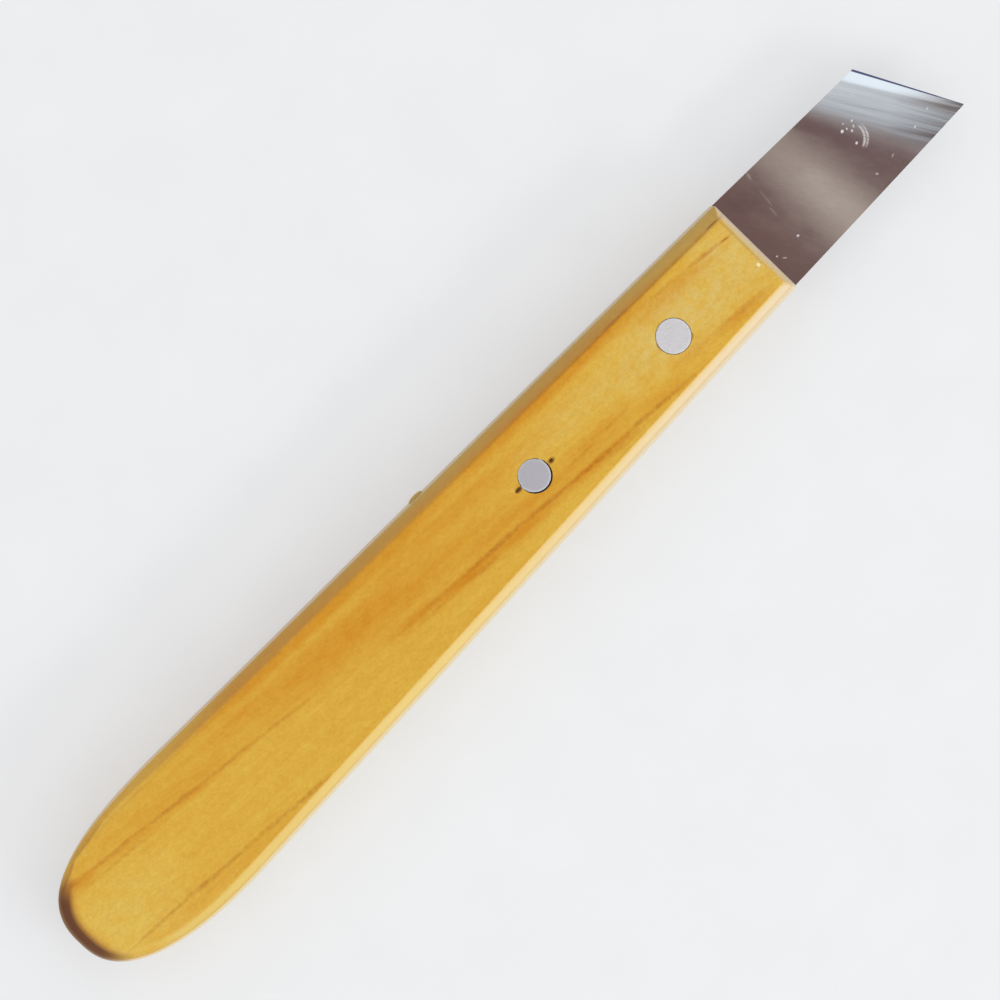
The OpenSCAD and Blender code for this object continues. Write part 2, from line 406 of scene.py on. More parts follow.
    # The varnish is fairly smooth, and rough only on the butt's end grain, which is the last share above
    grit = add_node(tree, "ShaderNodeMapRange", layers["fibre"], 0.3, 0.7, 0.34, 0.26)
    grit = add_node(tree, "ShaderNodeMix", share, grit, 0.6, data_type="FLOAT")
    relief = add_node(tree, "ShaderNodeMath", layers["fibre"], layers["fleck"], operation="ADD")
    bump = add_node(tree, "ShaderNodeBump", sockets={
        "Height": relief, "Strength": 0.25, "Distance": 0.02 * MM})
    surface(tree, {"Base Color": colour, "Roughness": grit, "Normal": bump, "Specular IOR Level": 0.4})
    return material


def steel_wear(tree, place, haze):
    """Strength of the wear on the blade: specks, scratches and a double arc of scuffs beside the bevel."""
    wear = soft_marks(tree, place, [
        ((68.1, 2.1), 0.36, 0.28, 20, 0.7), ((68.8, 1.9), 0.26, 0.18, 60, 0.45),
        ((68.9, 2.75), 0.24, 0.16, 0, 0.35), ((69.1, 1.2), 0.28, 0.22, 40, 0.5),
        ((69.7, 1.5), 0.34, 0.18, 50, 0.4), ((70.05, 2.15), 0.28, 0.2, 0, 0.5),
        ((68.35, -0.4), 0.3, 0.24, 30, 0.6), ((53.8, -3.4), 0.3, 0.26, 0, 0.5),
        ((49.8, -3.3), 0.24, 0.18, 0, 0.45), ((50.4, -4.2), 0.5, 0.14, -45, 0.3),
        ((75.5, -4.6), 0.28, 0.22, 0, 0.5), ((78.5, -4.1), 0.28, 0.2, 20, 0.4),
        ((67.3, -5.3), 0.3, 0.2, -40, 0.3), ((70.6, -5.1), 0.5, 0.14, 20, 0.2),
        ((72.7, 4.6), 0.3, 0.2, 0, 0.2), ((54.9, 7.0), 0.8, 0.3, 75, 0.12),
        ((54.4, 3.3), 2.2, 0.2, 84, 0.05), ((53.8, 1.3), 1.2, 0.22, 86, 0.06)])

    # The scuffs are parts of two rings round one middle
    scuff_place = add_node(tree, "ShaderNodeVectorMath", place, (67.9, 0.9, 0), operation="SUBTRACT")
    scuff_place = add_node(tree, "ShaderNodeVectorMath", scuff_place, (1, 1, 0), operation="MULTIPLY")
    scuff_reach = add_node(tree, "ShaderNodeVectorMath", scuff_place, operation="LENGTH").outputs["Value"]
    scuff_part = soft_marks(tree, place, [((69.7, -0.3), 2.2, 1.3, 58, 1.0)])
    scuff_part = add_node(tree, "ShaderNodeMath", scuff_part, haze, operation="MULTIPLY")
    for scuff_radius in (2.35, 2.8):
        off_arc = distance(tree, scuff_reach, scuff_radius)
        arc = add_node(tree, "ShaderNodeMapRange", off_arc, 0.05, 0.25, 0.75, 0)
        arc = add_node(tree, "ShaderNodeMath", arc, scuff_part, operation="MULTIPLY")
        wear = add_node(tree, "ShaderNodeMath", wear, arc, operation="MAXIMUM")
    return wear


def edge_line_strength(tree, place, outward, upward):
    """Strength of a dark blue line on a hair's breadth of the edge, widest and darkest at the heel, which
    ends near the point."""
    edge_mm = edge_length / MM
    edge_line_width = add_node(tree, "ShaderNodeMapRange", upward, 0.15 * edge_mm, edge_mm, 0.15, 0.33)
    edge_line = add_node(tree, "ShaderNodeMath", outward, edge_line_width, operation="ADD")
    edge_line = add_node(tree, "ShaderNodeMapRange", edge_line, -0.04, 0.04, 0, 0.95)
    edge_line_end = add_node(tree, "ShaderNodeMapRange", upward, 0.1 * edge_mm, 0.25 * edge_mm, 0, 1)
    edge_line = add_node(tree, "ShaderNodeMath", edge_line, edge_line_end, operation="MULTIPLY")
    heel_spot = soft_marks(tree, place, [((heel / MM).xy, 0.5, 0.4, 0, 0.95)])
    return add_node(tree, "ShaderNodeMath", edge_line, heel_spot, operation="MAXIMUM")


def polished_steel():
    """Ground and buffed tool steel: a clear, slightly streaky mirror, with grinding marks along the bevel,
    painted reflection in its tints and its honed strip, and a dark blue line on the cutting edge."""
    material, tree, place = new_material("polished_tool_steel")
    edge_turn = math.pi / 2 - edge_angle
    grind_turn = edge_turn + math.radians(4)
    edge_mm = edge_length / MM
    at_edge = add_node(tree, "ShaderNodeMapping", place, vector_type="TEXTURE", sockets={
        "Location": point / MM, "Rotation": (0, 0, edge_turn)})
    from_edge = add_node(tree, "ShaderNodeSeparateXYZ", at_edge)
    outward = from_edge.outputs["X"]
    upward = from_edge.outputs["Y"]
    bevel_mm = bevel_width / MM
    bevel = add_node(tree, "ShaderNodeMapRange", outward, -bevel_mm - 1, -bevel_mm + 1, 0, 1)

    # Grinding marks nearly along the cutting edge, and clouds on the flat, with their sizes in millimetres
    layers = {}
    for name, turn, size, detail in (
            ("grind", grind_turn, (0.16, 9, 1), 3), ("band", grind_turn, (1.1, 22, 1), 2),
            ("cloud", edge_turn, (3, 7, 3), 4), ("haze", edge_turn, (0.3, 1.2, 1), 2)):
        layers[name] = noise_marks(tree, place, size, detail, 0.6, turn, point / MM)
    flat_shade = weigh(tree, [(layers["cloud"], 0.3), (layers["haze"], 0.16)], 0.77)

    # The bevel's painted reflection dims towards the point and its shoulder; its marks are stronger towards
    # the point
    marks = weigh(tree, [(layers["grind"], 0.5), (layers["band"], 0.8)], -0.65)
    contrast = add_node(tree, "ShaderNodeMapRange", upward, 0, edge_mm, 1.5, 0.7)
    bevel_reflection = add_node(tree, "ShaderNodeMapRange", upward, 0.12 * edge_mm, 0.6 * edge_mm, 0.58, 1.06)
    bevel_shade = add_node(tree, "ShaderNodeMath", marks, contrast, bevel_reflection, operation="MULTIPLY_ADD")
    shoulder = add_node(tree, "ShaderNodeMapRange", outward, -bevel_mm, -2, 0.88, 1.02)
    bevel_shade = add_node(tree, "ShaderNodeMath", bevel_shade, shoulder, operation="MULTIPLY")
    shade = add_node(tree, "ShaderNodeMix", bevel, flat_shade, bevel_shade, data_type="FLOAT")
    along = add_node(tree, "ShaderNodeSeparateXYZ", place).outputs["X"]
    # The flat is painted a little warmer near the handle: painted reflection
    root = add_node(tree, "ShaderNodeMapRange", along, front_x / MM + 2, front_x / MM + 9, 1, 0)
    flat = add_node(tree, "ShaderNodeMix", root, linear("#d2ccc8"), linear("#cebfb8"), data_type="RGBA")
    # The bevel is painted warmer towards the point and cooler towards the heel: painted reflection
    ground = weigh(tree, [(layers["band"], 3), (upward, 1.5 / edge_mm)], -1.2)
    ground = add_node(tree, "ShaderNodeMix", ground, linear("#c6bcbc"), linear("#c9cdd1"), data_type="RGBA")
    body = add_node(tree, "ShaderNodeMix", bevel, flat, ground, data_type="RGBA")
    colour = add_node(tree, "ShaderNodeVectorMath", body, sockets={"Scale": shade}, operation="SCALE")

    # The honed strip along the edge is painted brighter, a painted reflection, and narrows and fades towards
    # the point
    hone_mm = add_node(tree, "ShaderNodeMapRange", upward, 0, edge_mm,
                       point_hone_width / MM, heel_hone_width / MM)
    hone = add_node(tree, "ShaderNodeMath", outward, hone_mm, operation="ADD")
    hone_bright = add_node(tree, "ShaderNodeMapRange", upward, 0, 0.75 * edge_mm, 0.05, 1)
    hone = add_node(tree, "ShaderNodeMapRange", hone, -0.3, 0.3, 0, hone_bright)
    colour = add_node(tree, "ShaderNodeMix", hone, colour, linear("#dce6ee"), data_type="RGBA")

    wear = steel_wear(tree, place, layers["haze"])
    colour = add_node(tree, "ShaderNodeMix", wear, colour, linear("#f2f2f2"), data_type="RGBA")
    # A dark blue line along the cutting edge
    edge_line = edge_line_strength(tree, place, outward, upward)
    colour = add_node(tree, "ShaderNodeMix", edge_line, colour, linear("#403f68"), data_type="RGBA")

    flat_grit = add_node(tree, "ShaderNodeMapRange", layers["cloud"], 0.3, 0.7, 0.04, 0.07)
    bevel_grit = add_node(tree, "ShaderNodeMapRange", layers["grind"], 0.3, 0.7, 0.1, 0.18)
    grit = add_node(tree, "ShaderNodeMix", bevel, flat_grit, bevel_grit, data_type="FLOAT")
    rough = add_node(tree, "ShaderNodeMix", wear, grit, 0.6, data_type="FLOAT")
    ridges = add_node(tree, "ShaderNodeMath", layers["grind"], bevel, operation="MULTIPLY")
    bump = add_node(tree, "ShaderNodeBump", sockets={
        "Height": ridges, "Strength": 0.35, "Distance": 0.01 * MM})
    bare = add_node(tree, "ShaderNodeMath", 1, wear, operation="SUBTRACT")
    surface(tree, {"Base Color": colour, "Roughness": rough, "Normal": bump, "Metallic": bare})
    return material


def sanded_aluminium(name, dark, light, coarse, fine):
    """Aluminium rod, cut off and sanded flush with the wood: a light grey with fine crossing scratches, matt
    where its grit is coarse and darker where it has been rubbed smoother."""
    material, tree, place = new_material(name)
    scratches = [noise_marks(tree, place, (1.2, 0.12, 1.2), 2, turn=math.radians(degrees))
                 for degrees in (12, -35)]
    scratch = add_node(tree, "ShaderNodeMath", *scratches, operation="ADD")
    tone = add_node(tree, "ShaderNodeMapRange", scratch, 0.7, 1.3, 0, 1)
    colour = add_node(tree, "ShaderNodeMix", tone, linear(dark), linear(light), data_type="RGBA")
    grit = add_node(tree, "ShaderNodeMapRange", scratch, 0.7, 1.3, coarse, fine)
    bump = add_node(tree, "ShaderNodeBump", sockets={
        "Height": scratch, "Strength": 0.3, "Distance": 0.02 * MM})
    surface(tree, {"Base Color": colour, "Roughness": grit, "Normal": bump, "Metallic": 1.0})
    return material


def pale_paper():
    """Matt off-white card under the knife, with a faint mottle. The camera sees it half as its plain colour,
    which keeps the shadows on it faint, and mirrors see it mostly so."""
    material, tree, place = new_material("pale_paper")
    mottle = noise_marks(tree, place, (12, 12, 12), 4)
    colour = add_node(tree, "ShaderNodeMix", mottle, linear("#ecedef"), linear("#f1f2f3"), data_type="RGBA")
    card = add_node(tree, "ShaderNodeBsdfDiffuse", colour)
    plain = add_node(tree, "ShaderNodeEmission", colour, 1.0)
    sight = add_node(tree, "ShaderNodeLightPath")
    seen = weigh(tree, [(sight.outputs["Is Camera Ray"], 0.5), (sight.outputs["Is Glossy Ray"], 0.7),
                        (sight.outputs["Is Transmission Ray"], 0.7)])
    share = add_node(tree, "ShaderNodeMath", seen, 1, operation="MINIMUM")
    mixed = add_node(tree, "ShaderNodeMixShader", share, card, plain)
    add_node(tree, "ShaderNodeOutputMaterial", mixed)
    return material


# Geometry Nodes

def new_tree(name, inputs):
    """A Geometry Nodes tree with these named inputs and one output, and the sockets that give its inputs."""
    tree = bpy.data.node_groups.new(name, "GeometryNodeTree")
    for label, value in inputs.items():
        kind = "NodeSocketFloat" if isinstance(value, (int, float)) else "NodeSocketVector"
        kind = "NodeSocketGeometry" if value is None else kind
        tree.interface.new_socket(label, in_out="INPUT", socket_type=kind)
    tree.interface.new_socket("Geometry", in_out="OUTPUT", socket_type="NodeSocketGeometry")
    return tree, add_node(tree, "NodeGroupInput").outputs


def end_tree(tree, geometry, material):
    """Ends a tree in realised geometry of one material."""
    real = add_node(tree, "GeometryNodeRealizeInstances", geometry)
    dressed = add_node(tree, "GeometryNodeSetMaterial", real, sockets={"Material": material})
    add_node(tree, "NodeGroupOutput", dressed)


def grow(piece, tree, inputs):
    """Runs a tree on a piece with its inputs set, and keeps the result as the piece's plain mesh."""
    modifier = piece.modifiers.new(tree.name, "NODES")
    modifier.node_group = tree
    for item in tree.interface.items_tree:
        if item.in_out == "INPUT" and inputs[item.name] is not None:
            modifier[item.identifier] = inputs[item.name]
    shape = bpy.data.meshes.new_from_object(piece.evaluated_get(bpy.context.evaluated_depsgraph_get()))
    piece.modifiers.clear()
    piece.data = shape
    shape.name = piece.name
    for index in reversed(range(len(shape.materials))):
        if shape.materials[index] is None:
            shape.materials.pop(index=index)


def new_piece(name, mesh=None):
    """An object at the origin, in the scene."""
    piece = bpy.data.objects.new(name, mesh or bpy.data.meshes.new(name))
    bpy.context.scene.collection.objects.link(piece)
    return piece


def mount(piece, node, sharp_from):
    """Keeps a finished piece's edges sharp where they turn by more degrees than this, and hangs it on the
    knife in place of its solid."""
    piece.data.set_sharp_from_angle(angle=math.radians(sharp_from))
    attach(piece, "root")
    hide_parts(node)


# Handle

# Shares of the way round half the outline at which the butt ends and the front end starts
butt_share = 0.22
front_share = 0.44
# The share at the middle of the butt's corner, where the back's eased edge is narrowest
corner_share = 0.125
# A share too small to see, by which two places round the outline are told apart
share_margin = 0.001
# Shares of the way down half the section at which the flat ends and the side starts
flat_share = 0.10
side_share = 0.40
# Points round the whole outline, and from flat to flat
outline_points = 401
section_points = 61
# Sides of the bit that drills each rivet hole
bit_sides = 72


def rounded_lump(tree, place, half):
    """A small ball stretched to these half sizes."""
    ball = add_node(tree, "GeometryNodeMeshIcoSphere", 1.0, 3)
    return add_node(tree, "GeometryNodeTransform", ball, sockets={"Translation": place, "Scale": half})


def eased_profile(tree, size, around, roll, on_back):
    """Shares of the eased edge's width and height at each place on it. The edge is round at the butt and two
    crisp facets further on, the first of them wider along the back."""
    behind_front = add_node(tree, "ShaderNodeMath", around, front_share + share_margin, operation="LESS_THAN")
    wider = add_node(tree, "ShaderNodeMath", on_back, behind_front, operation="MULTIPLY")
    facet = add_node(tree, "ShaderNodeMix", wider, size["Belly Facet"], size["Back Facet"],
                     data_type="VECTOR")
    facet = add_node(tree, "ShaderNodeSeparateXYZ", facet)
    facet_far = facet.outputs["X"]
    facet_high = facet.outputs["Y"]
    roll_angle = add_node(tree, "ShaderNodeMath", roll, math.pi / 4, operation="MULTIPLY")
    round_out = add_node(tree, "ShaderNodeMath", roll_angle, operation="SINE")
    round_down = add_node(tree, "ShaderNodeMath", roll_angle, operation="COSINE")
    first_out = add_node(tree, "ShaderNodeMath", roll, facet_far, operation="MULTIPLY")
    second_out = add_node(tree, "ShaderNodeMapRange", roll, 1, 2, facet_far, 1, clamp=False)
    facet_out = add_node(tree, "ShaderNodeMath", first_out, second_out, operation="MINIMUM")
    first_down = add_node(tree, "ShaderNodeMapRange", roll, 0, 1, 1, facet_high, clamp=False)
    second_down = add_node(tree, "ShaderNodeMapRange", roll, 1, 2, facet_high, 0, clamp=False)
    facet_down = add_node(tree, "ShaderNodeMath", first_down, second_down, operation="MINIMUM")
    crisp = add_node(tree, "ShaderNodeMapRange", around, 0.1, butt_share, 0, size["Crispness"])
    out_share = add_node(tree, "ShaderNodeMix", crisp, round_out, facet_out, data_type="FLOAT")
    down_share = add_node(tree, "ShaderNodeMix", crisp, round_down, facet_down, data_type="FLOAT")
    return out_share, down_share


def ease_share(tree, size, around, on_back):
    """Share of its full size that the eased edge has. The back's narrows round the butt's corner, and meets
    the belly's in the middle of each end."""
    narrowing = add_node(tree, "ShaderNodeMapRange", around, 0.05, corner_share, 1, size["Corner Ease Share"],
                         interpolation_type="SMOOTHSTEP")
    widening = add_node(tree, "ShaderNodeMapRange", around, corner_share, 0.28, size["Corner Ease Share"],
                        size["Back Ease Share"], interpolation_type="SMOOTHSTEP")
    ease = add_node(tree, "ShaderNodeMath", narrowing, widening, operation="MAXIMUM")
    ease = add_node(tree, "ShaderNodeMapRange", around, front_share, 0.5, ease, 1.0)
    return add_node(tree, "ShaderNodeMix", on_back, 1.0, ease, data_type="FLOAT")


def butt_corner(tree, size, turn, on_back, inset, butt_inset):
    """How far behind the shoulder and how far aside the butt's outline is. Its corners are superellipses,
    fuller on the back than on the belly."""
    fullness = add_node(tree, "ShaderNodeMix", on_back, size["Belly Fullness"], size["Back Fullness"],
                        data_type="FLOAT")
    cosine = add_node(tree, "ShaderNodeMath", turn, operation="COSINE")
    sine = add_node(tree, "ShaderNodeMath", turn, operation="SINE")
    cosine_power = add_node(tree, "ShaderNodeMath", cosine, fullness, operation="POWER")
    sine_power = add_node(tree, "ShaderNodeMath", sine, fullness, operation="POWER")
    powers = add_node(tree, "ShaderNodeMath", cosine_power, sine_power, operation="ADD")
    root = add_node(tree, "ShaderNodeMath", -1, fullness, operation="DIVIDE")
    radius = add_node(tree, "ShaderNodeMath", powers, root, operation="POWER")
    reach = add_node(tree, "ShaderNodeMath", size["Butt Length"], butt_inset, operation="SUBTRACT")
    reach = add_node(tree, "ShaderNodeMath", reach, radius, operation="MULTIPLY")
    back_x = add_node(tree, "ShaderNodeMath", reach, cosine, operation="MULTIPLY")
    half_width = add_node(tree, "ShaderNodeMath", size["Width"], 0.5, operation="MULTIPLY")
    half_width = add_node(tree, "ShaderNodeMath", half_width, inset, operation="SUBTRACT")
    half_width = add_node(tree, "ShaderNodeMath", half_width, radius, operation="MULTIPLY")
    butt_y = add_node(tree, "ShaderNodeMath", half_width, sine, operation="MULTIPLY")
    return back_x, butt_y


def work_wood(tree, blank):
    """Adds a raised sliver on the back, and cuts the tang's slot and the splits beside the rear rivet."""
    sliver = rounded_lump(tree, sliver_place, sliver_half)
    whole = add_node(tree, "GeometryNodeMeshBoolean", operation="UNION", solver="MANIFOLD")
    for part in (blank, sliver):
        tree.links.new(part.outputs[0], whole.inputs["Mesh 2"])
    saw_cut = add_node(tree, "GeometryNodeMeshCube", slot_size)
    saw_cut = add_node(tree, "GeometryNodeTransform", saw_cut, sockets={"Translation": slot_place})
    cut = add_node(tree, "GeometryNodeMeshBoolean", whole, operation="DIFFERENCE", solver="MANIFOLD")
    tree.links.new(saw_cut.outputs[0], cut.inputs["Mesh 2"])
    for place, half in splits:
        split = rounded_lump(tree, place, half)
        tree.links.new(split.outputs[0], cut.inputs["Mesh 2"])
    return cut


def handle_tree(inputs, material):
    """A closed sheet: one way runs round the handle's outline, the other from flat to flat over its edge."""
    tree, size = new_tree("handle", inputs)
    sheet = add_node(tree, "GeometryNodeMeshGrid", 1.0, 1.0, outline_points, section_points)
    spot = add_node(tree, "GeometryNodeInputPosition")
    spot = add_node(tree, "ShaderNodeSeparateXYZ", spot)
    around = add_node(tree, "ShaderNodeMath", spot.outputs["X"], 0.5, operation="ADD")
    side = add_node(tree, "ShaderNodeMath", spot.outputs["X"], operation="SIGN")
    down = add_node(tree, "ShaderNodeMath", spot.outputs["Y"], 0.5, operation="ADD")
    upper = add_node(tree, "ShaderNodeMath", spot.outputs["Y"], operation="SIGN")
    around = add_node(tree, "ShaderNodeMath", around, 0.5, operation="PINGPONG")
    down = add_node(tree, "ShaderNodeMath", down, 0.5, operation="PINGPONG")

    # Stages of the outline: round the butt, along the side, across half the front end
    turn = add_node(tree, "ShaderNodeMapRange", around, 0, butt_share, 0, math.pi / 2)
    along = add_node(tree, "ShaderNodeMapRange", around, butt_share, front_share, 0, 1)
    inward = add_node(tree, "ShaderNodeMapRange", around, front_share, 0.5, 1, 0)

    # Stages of the section: over the flat, down the eased edge, down the side to the middle
    over = add_node(tree, "ShaderNodeMapRange", down, 0, flat_share, 0, 1)
    roll = add_node(tree, "ShaderNodeMapRange", down, flat_share, side_share, 0, 2)
    drop = add_node(tree, "ShaderNodeMapRange", down, side_share, 0.5, 1, 0)

    on_back = add_node(tree, "ShaderNodeMath", side, 0, operation="GREATER_THAN")
    out_share, down_share = eased_profile(tree, size, around, roll, on_back)
    ease = ease_share(tree, size, around, on_back)

    # How far the outline is drawn in from the handle's own, and the height above its middle
    in_share = add_node(tree, "ShaderNodeMath", 1, out_share, operation="SUBTRACT")
    in_share = add_node(tree, "ShaderNodeMath", in_share, ease, operation="MULTIPLY")
    bulge = add_node(tree, "ShaderNodeMath", drop, 2, operation="POWER")
    bulge = add_node(tree, "ShaderNodeMath", bulge, size["Side Bulge"], operation="MULTIPLY")
    tuck = add_node(tree, "ShaderNodeMath", drop, size["Side Tuck"], operation="MULTIPLY")
    in_lower = add_node(tree, "ShaderNodeMath", upper, 0, operation="LESS_THAN")
    drawn = add_node(tree, "ShaderNodeMix", in_lower, bulge, tuck, data_type="FLOAT")
    inset = add_node(tree, "ShaderNodeMath", in_share, size["Ease Width"], drawn, operation="MULTIPLY_ADD")
    butt_inset = add_node(tree, "ShaderNodeMath", in_share, size["Butt Ease Width"], drawn,
                          operation="MULTIPLY_ADD")
    front_inset = add_node(tree, "ShaderNodeMath", in_share, size["Front Ease Width"], operation="MULTIPLY")
    half_thickness = add_node(tree, "ShaderNodeMath", size["Thickness"], 0.5, operation="MULTIPLY")
    ease_depth_here = add_node(tree, "ShaderNodeMath", ease, size["Ease Depth"], operation="MULTIPLY")
    side_height = add_node(tree, "ShaderNodeMath", half_thickness, ease_depth_here, operation="SUBTRACT")
    height = add_node(tree, "ShaderNodeMath", down_share, ease_depth_here, side_height,
                      operation="MULTIPLY_ADD")
    height = add_node(tree, "ShaderNodeMath", height, drop, operation="MULTIPLY")
    z = add_node(tree, "ShaderNodeMath", height, upper, half_thickness, operation="MULTIPLY_ADD")

    # The sides run straight from the shoulder to the front end
    back_x, butt_y = butt_corner(tree, size, turn, on_back, inset, butt_inset)
    side_length = add_node(tree, "ShaderNodeMath", size["Side Length"], front_inset, operation="SUBTRACT")
    forward = add_node(tree, "ShaderNodeMath", side_length, along, operation="MULTIPLY")
    taper = add_node(tree, "ShaderNodeMath", forward, size["Side Slope"], operation="MULTIPLY")
    y = add_node(tree, "ShaderNodeMath", butt_y, taper, operation="SUBTRACT")
    y = add_node(tree, "ShaderNodeMath", y, inward, operation="MULTIPLY")
    y = add_node(tree, "ShaderNodeMath", y, side, operation="MULTIPLY")
    y = add_node(tree, "ShaderNodeMath", y, over, operation="MULTIPLY")
    x = add_node(tree, "ShaderNodeMath", forward, back_x, operation="SUBTRACT")
    x = add_node(tree, "ShaderNodeMath", x, size["Shoulder X"], operation="ADD")

    # The front end's corners are broken
    corner = add_node(tree, "ShaderNodeMath", around, front_share, share_margin, operation="COMPARE")
    corner = add_node(tree, "ShaderNodeMath", corner, size["Corner Break"], operation="MULTIPLY")
    x = add_node(tree, "ShaderNodeMath", x, corner, operation="SUBTRACT")

    # The flats close along a line down the middle of the handle
    spine_start = add_node(tree, "ShaderNodeMath", size["Shoulder X"], 0.5, operation="MULTIPLY")
    spine_end = add_node(tree, "ShaderNodeMath", size["Shoulder X"], size["Side Length"], operation="ADD")
    spine_end = add_node(tree, "ShaderNodeMath", spine_end, 0.6, operation="MULTIPLY")
    spine = add_node(tree, "ShaderNodeMapRange", around, 0, 0.5, spine_start, spine_end)
    x = add_node(tree, "ShaderNodeMix", over, spine, x, data_type="FLOAT")

    where = add_node(tree, "ShaderNodeCombineXYZ", x, y, z)
    blank = add_node(tree, "GeometryNodeSetPosition", sheet, sockets={"Position": where})
    blank = add_node(tree, "GeometryNodeMergeByDistance", blank, sockets={"Distance": 0.001 * MM})
    end_tree(tree, work_wood(tree, blank), material)
    return tree


def drill_tree(inputs, material):
    """A tree that drills both rivet holes through a piece."""
    tree, size = new_tree("rivet_holes", inputs)
    drilled = add_node(tree, "GeometryNodeMeshBoolean", size["Geometry"], operation="DIFFERENCE",
                       solver="MANIFOLD")
    for end in ("Front", "Rear"):
        radius = add_node(tree, "ShaderNodeMath", size[end + " Bore"], 0.5, operation="MULTIPLY")
        bit = add_node(tree, "GeometryNodeMeshCylinder", bit_sides, 1, 1, radius, size["Depth"])
        bit = add_node(tree, "GeometryNodeTransform", bit, sockets={"Translation": size[end + " Place"]})
        tree.links.new(bit.outputs[0], drilled.inputs["Mesh 2"])
    end_tree(tree, drilled, material)
    return tree


def drill(piece, material, front_hole, rear_hole):
    """Drills a piece for the rivets, with each hole given as its place and its bore."""
    inputs = {
        "Geometry": None, "Front Place": front_hole[0], "Front Bore": front_hole[1],
        "Rear Place": rear_hole[0], "Rear Bore": rear_hole[1], "Depth": 2 * handle_thickness,
    }
    grow(piece, drill_tree(inputs, material), inputs)


def make_handle(material):
    """The wooden handle: shaped, slotted, drilled and hung on the knife."""
    inputs = {
        "Shoulder X": shoulder_x, "Side Length": front_x - shoulder_x, "Side Slope": side_slope,
        "Width": handle_width, "Thickness": handle_thickness, "Butt Length": butt_length,
        "Back Fullness": back_fullness, "Belly Fullness": belly_fullness, "Crispness": facet_crispness,
        "Ease Width": ease_width - side_bulge, "Butt Ease Width": butt_ease_width - side_bulge,
        "Front Ease Width": front_ease_width, "Ease Depth": ease_depth, "Corner Break": corner_break,
        "Side Bulge": side_bulge, "Side Tuck": side_tuck, "Back Ease Share": back_ease_share,
        "Corner Ease Share": corner_ease_share, "Belly Facet": belly_facet, "Back Facet": back_facet,
    }
    piece = new_piece("handle_wood")
    grow(piece, handle_tree(inputs, material), inputs)
    drill(piece, material, (front_rivet, front_bore), (rear_bore_place, rear_bore))
    mount(piece, "handle", sharp_from=20)


# Blade

blade_columns = 24
hone_rows = 4
bevel_rows = 30
flat_rows = 14
ground_rows = hone_rows + bevel_rows
blade_rows = ground_rows + flat_rows
# The bevel's rows run on past its shoulder, which is softened by buffing
bevel_overrun = 1.5


def blade_spot(row, share):
    """A place on the blade's upper face: rows count back from the edge, and share runs from belly to back."""
    start = point.lerp(heel, share)
    hone = mix(point_hone_width, heel_hone_width, share)
    ground = bevel_overrun * bevel_width
    if row <= hone_rows:
        back = hone * row / hone_rows
    else:
        back = mix(hone, ground, min(1, (row - hone_rows) / bevel_rows))
    x = start.x - back / math.sin(edge_angle)
    if row > ground_rows:
        x = mix(x, tang_x, (row - ground_rows) / flat_rows)
    widening = blade_side(x) / blade_side(start.x)
    spot = Vector((x, blade_line(x) + (start.y - blade_line(start.x)) * widening, 0))
    behind = (point - spot).dot(edge_outward)
    slope = mix(point_bevel_slope, heel_bevel_slope, share)
    full = blade_thickness / 2
    bevel_start = full - slope * (bevel_width - hone)
    if behind < hone:
        height = mix(edge_land / 2, bevel_start, max(0, behind) / hone)
    else:
        bevel = bevel_start + slope * (behind - hone)
        gap = (bevel - full) / shoulder_softness
        height = full - shoulder_softness * math.log1p(math.exp(-gap))
    spot.z = height
    return spot


def make_blade(material):
    """The blade and its tang: two ground faces joined round their rims, and then drilled."""
    upper = [blade_spot(row, column / blade_columns)
             for row in range(blade_rows + 1) for column in range(blade_columns + 1)]
    count = len(upper)
    spots = [Vector((s.x, s.y, middle_z + s.z)) for s in upper]
    spots += [Vector((s.x, s.y, middle_z - s.z)) for s in upper]
    wide = blade_columns + 1
    faces = []
    for row in range(blade_rows):
        for column in range(blade_columns):
            first = row * wide + column
            face = (first, first + 1, first + wide + 1, first + wide)
            faces.append(face)
            faces.append(tuple(i + count for i in reversed(face)))
    rim = list(range(wide))
    rim += [row * wide + blade_columns for row in range(1, blade_rows + 1)]
    rim += [blade_rows * wide + column for column in range(blade_columns - 1, -1, -1)]
    rim += [row * wide for row in range(blade_rows - 1, 0, -1)]
    for here, following in zip(rim, rim[1:] + rim[:1]):
        faces.append((following, here, here + count, following + count))
    mesh = bpy.data.meshes.new("blade_steel")
    mesh.from_pydata(spots, [], faces)
    mesh.shade_smooth()
    piece = new_piece("blade_steel", mesh)
    drill(piece, material, (front_rivet, tang_bore), (rear_rivet, tang_bore))
    mount(piece, "blade", sharp_from=30)


# Rivets

rivet_segments = 96
rivet_rings = 14
rivet_dome = 0.02 * MM
# The rim's break, and the share of the radius at which it starts
rim_break = 0.03 * MM
rim_share = 0.94


